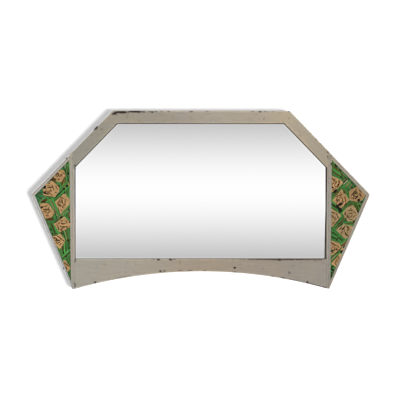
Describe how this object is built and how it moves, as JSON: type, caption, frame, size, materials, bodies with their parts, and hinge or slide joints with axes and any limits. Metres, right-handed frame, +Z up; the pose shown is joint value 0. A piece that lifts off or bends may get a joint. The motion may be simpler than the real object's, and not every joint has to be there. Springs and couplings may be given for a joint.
{
  "type": "wall mirror",
  "caption": "Wide six-sided bevelled mirror in a lapped, painted wooden frame with pointed wings of carved roses and leaves and an arched lower edge.",
  "frame": {"origin": "middle of the glass opening, in the back plane of the frame and backboard", "axes": "+Y out of the back towards the wall, +Z up, +X to the right as the viewer sees the front"},
  "size_m": [0.9956, 0.0265, 0.5255],
  "materials": {
    "painted_wood": "satin",
    "carved_wood": "satin",
    "mirror": "polished",
    "card": "matte",
    "plywood": "matte",
    "bare_wood": "matte",
    "nail_steel": "matte",
    "brass": "satin",
    "steel": "satin",
    "screw_brass": "satin",
    "rubber": "matte"
  },
  "bodies": {
    "mirror": {"top_rail": "painted_wood", "bottom_rail": "painted_wood", "left_slope_rail": "painted_wood", "left_stile": "painted_wood", "left_wing_upper_strip": "painted_wood", "left_wing_lower_strip": "painted_wood", "right_slope_rail": "painted_wood", "right_stile": "painted_wood", "right_wing_upper_strip": "painted_wood", "right_wing_lower_strip": "painted_wood", "left_wing_panel": "carved_wood", "right_wing_panel": "carved_wood", "mirror_glass": "mirror", "packing_sheet": "card", "backboard": "plywood", "left_glue_blocks": "bare_wood", "right_glue_blocks": "bare_wood", "lap_nails": "nail_steel", "face_nails": "nail_steel", "strip_pins": "nail_steel", "left_hanger_strap": "brass", "right_hanger_strap": "brass", "button_screws": "screw_brass", "hanger_screws": "screw_brass", "left_wall_pad": "rubber", "right_wall_pad": "rubber"},
    "left_ring": {"left_hanger_ring": "steel"},
    "right_ring": {"right_hanger_ring": "steel"},
    "top_left_turn": {"top_left_turn_button": "brass"},
    "top_middle_turn": {"top_middle_turn_button": "brass"},
    "top_right_turn": {"top_right_turn_button": "brass"},
    "right_slope_turn": {"right_slope_turn_button": "brass"},
    "bottom_right_turn": {"bottom_right_turn_button": "brass"},
    "bottom_middle_turn": {"bottom_middle_turn_button": "brass"},
    "bottom_left_turn": {"bottom_left_turn_button": "brass"},
    "left_slope_turn": {"left_slope_turn_button": "brass"}
  },
  "joints": [
    {"name": "left_ring_swing", "type": "hinge", "parent": "mirror", "child": "left_ring", "pos_m": [-0.29729, 0.003, 0.17865], "axis": [0.7184, 0, -0.6956], "range_deg": [0, 180]},
    {"name": "right_ring_swing", "type": "hinge", "parent": "mirror", "child": "right_ring", "pos_m": [0.29729, 0.003, 0.17865], "axis": [0.7184, 0, 0.6956], "range_deg": [0, 180]},
    {"name": "top_left_turn_pivot", "type": "hinge", "parent": "mirror", "child": "top_left_turn", "pos_m": [-0.19724, 0.0011, 0.21515], "axis": [0, 1, 0], "continuous": true},
    {"name": "top_middle_turn_pivot", "type": "hinge", "parent": "mirror", "child": "top_middle_turn", "pos_m": [0, 0.0011, 0.21515], "axis": [0, 1, 0], "continuous": true},
    {"name": "top_right_turn_pivot", "type": "hinge", "parent": "mirror", "child": "top_right_turn", "pos_m": [0.19724, 0.0011, 0.21515], "axis": [0, 1, 0], "continuous": true},
    {"name": "right_slope_turn_pivot", "type": "hinge", "parent": "mirror", "child": "right_slope_turn", "pos_m": [0.34957, 0.0011, 0.11532], "axis": [0, 1, 0], "continuous": true},
    {"name": "bottom_right_turn_pivot", "type": "hinge", "parent": "mirror", "child": "bottom_right_turn", "pos_m": [0.29696, 0.0011, -0.21515], "axis": [0, 1, 0], "continuous": true},
    {"name": "bottom_middle_turn_pivot", "type": "hinge", "parent": "mirror", "child": "bottom_middle_turn", "pos_m": [0, 0.0011, -0.21515], "axis": [0, 1, 0], "continuous": true},
    {"name": "bottom_left_turn_pivot", "type": "hinge", "parent": "mirror", "child": "bottom_left_turn", "pos_m": [-0.29696, 0.0011, -0.21515], "axis": [0, 1, 0], "continuous": true},
    {"name": "left_slope_turn_pivot", "type": "hinge", "parent": "mirror", "child": "left_slope_turn", "pos_m": [-0.34957, 0.0011, 0.11532], "axis": [0, 1, 0], "continuous": true}
  ]
}
